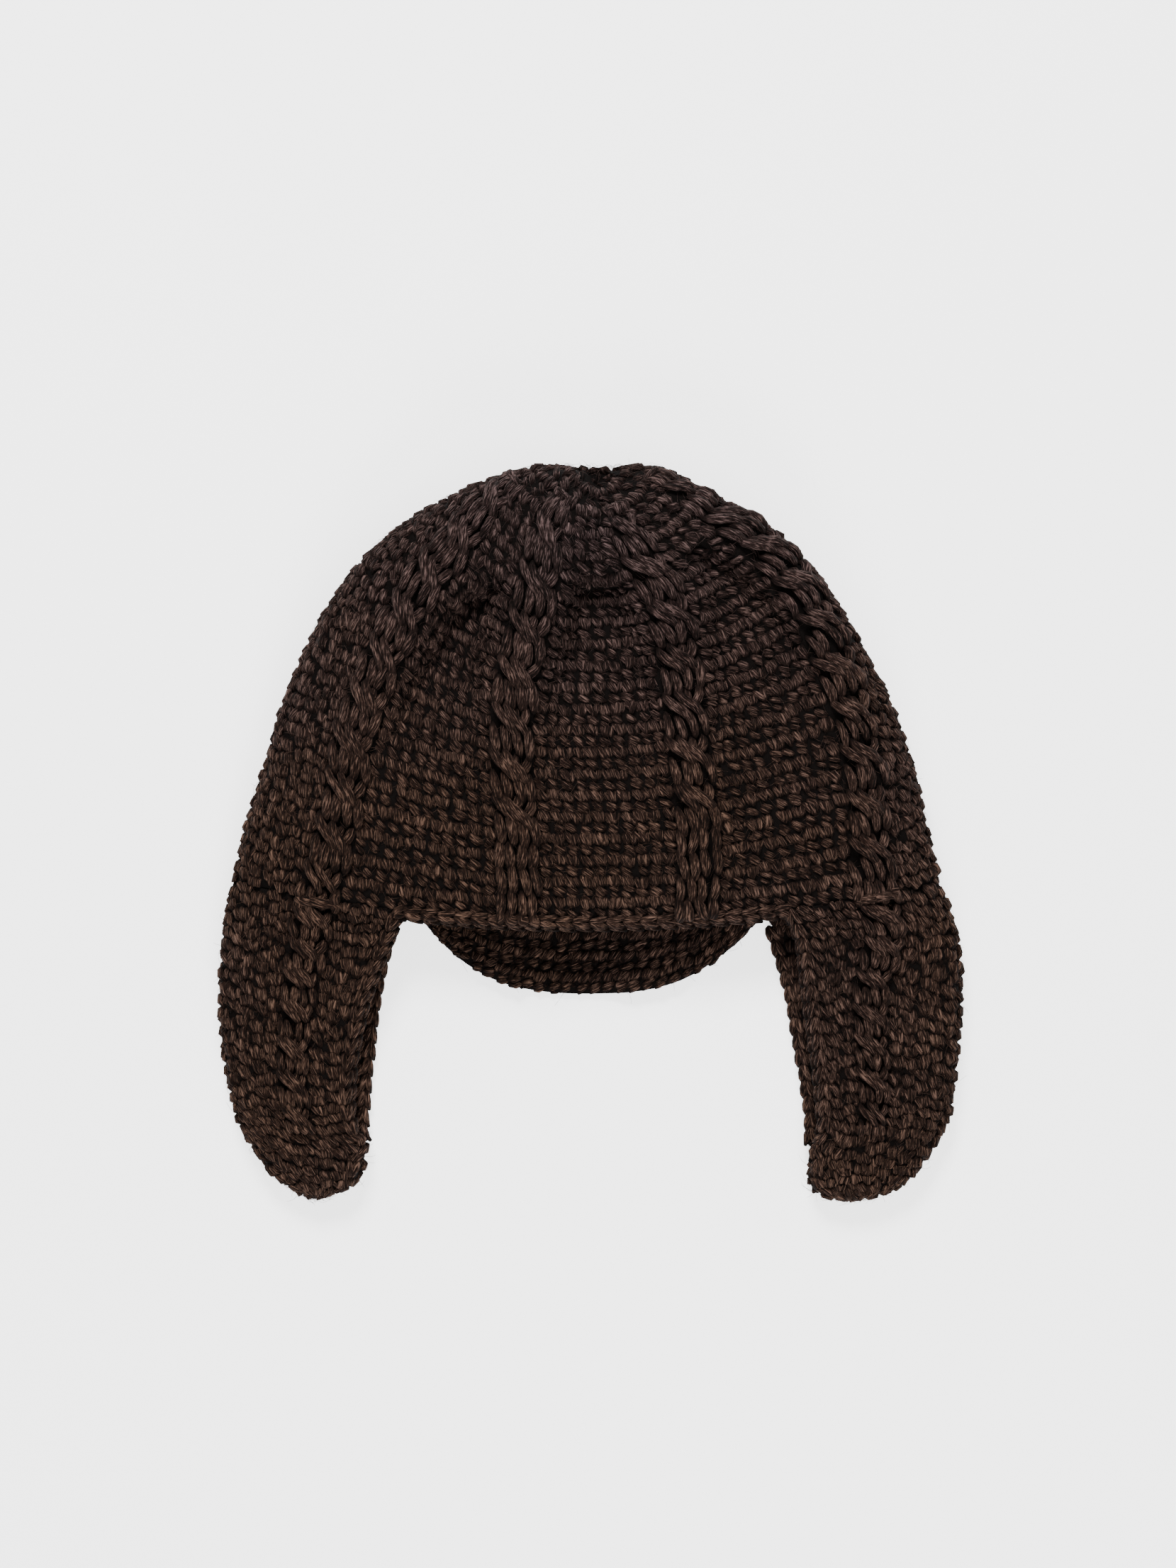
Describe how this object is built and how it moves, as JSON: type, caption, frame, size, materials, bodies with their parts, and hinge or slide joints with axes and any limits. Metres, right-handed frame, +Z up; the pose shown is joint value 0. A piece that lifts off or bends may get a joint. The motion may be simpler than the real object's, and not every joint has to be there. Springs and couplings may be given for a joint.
{
  "type": "crocheted cable earflap cap",
  "caption": "Thick brown wool cap with twisted cables and long folded earflaps, lying flat on its back with its hem open.",
  "frame": {"origin": "on the floor side of the back layer, under the middle of the lying cap", "axes": "+X to the right as seen from above, +Y from the hem towards the crown's centre, +Z up from the surface it lies on, through the cap's front"},
  "size_m": [0.2839, 0.2796, 0.0517],
  "materials": {
    "fabric_yarn": "rows of crocheted dark brown wool",
    "cable_yarn": "raised twisted post stitches in dark brown wool",
    "edging_yarn": "chain-stitch edge in dark brown wool"
  },
  "bodies": {
    "root": {"crown": "fabric_yarn", "cable_1": "cable_yarn", "cable_2": "cable_yarn", "cable_3": "cable_yarn", "cable_4": "cable_yarn", "cable_5": "cable_yarn", "cable_6": "cable_yarn", "cable_7": "cable_yarn", "cable_8": "cable_yarn", "left_earflap": "fabric_yarn", "right_earflap": "fabric_yarn", "left_flap_cable_front": "cable_yarn", "left_flap_cable_back": "cable_yarn", "right_flap_cable_front": "cable_yarn", "right_flap_cable_back": "cable_yarn", "front_edging": "edging_yarn", "left_back_edging": "edging_yarn", "right_back_edging": "edging_yarn"}
  },
  "joints": []
}
